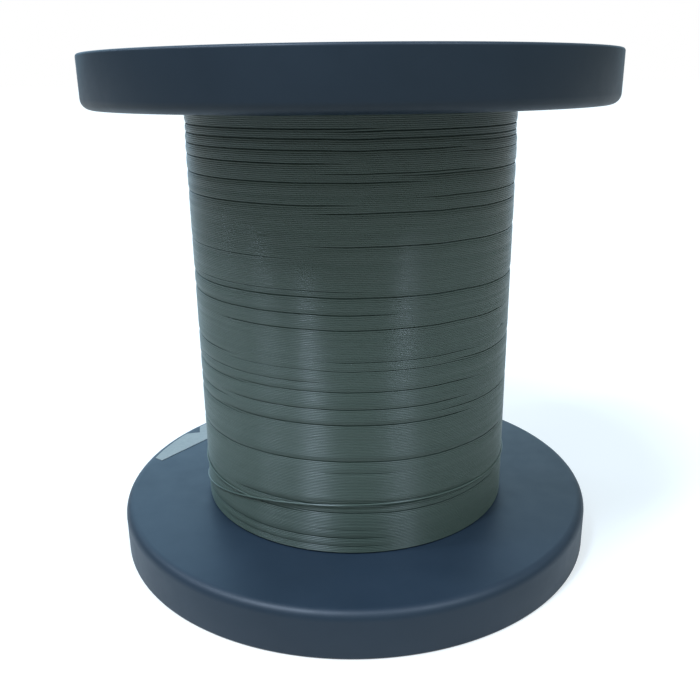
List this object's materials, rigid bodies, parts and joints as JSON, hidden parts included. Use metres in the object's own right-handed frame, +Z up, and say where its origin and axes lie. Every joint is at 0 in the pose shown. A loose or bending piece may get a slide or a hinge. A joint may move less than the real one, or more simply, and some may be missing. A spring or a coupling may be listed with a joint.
{
  "type": "reel of wire rope",
  "caption": "Flanged plastic reel standing on end, close wound from flange to flange with thin grey-green coated wire rope.",
  "frame": {"origin": "on the bore axis at the lower face, which the reel stands on", "axes": "+Z up along the bore, from the lower flange to the upper flange"},
  "size_m": [0.16, 0.16, 0.158],
  "materials": {
    "reel_plastic": "satin moulded, slate blue",
    "coated_rope": "smooth grey-green coating over steel strands",
    "label_paper": "plain, bare strip"
  },
  "bodies": {
    "root": {"reel": "reel_plastic", "rope_winding": "coated_rope", "label": "label_paper"}
  },
  "joints": []
}
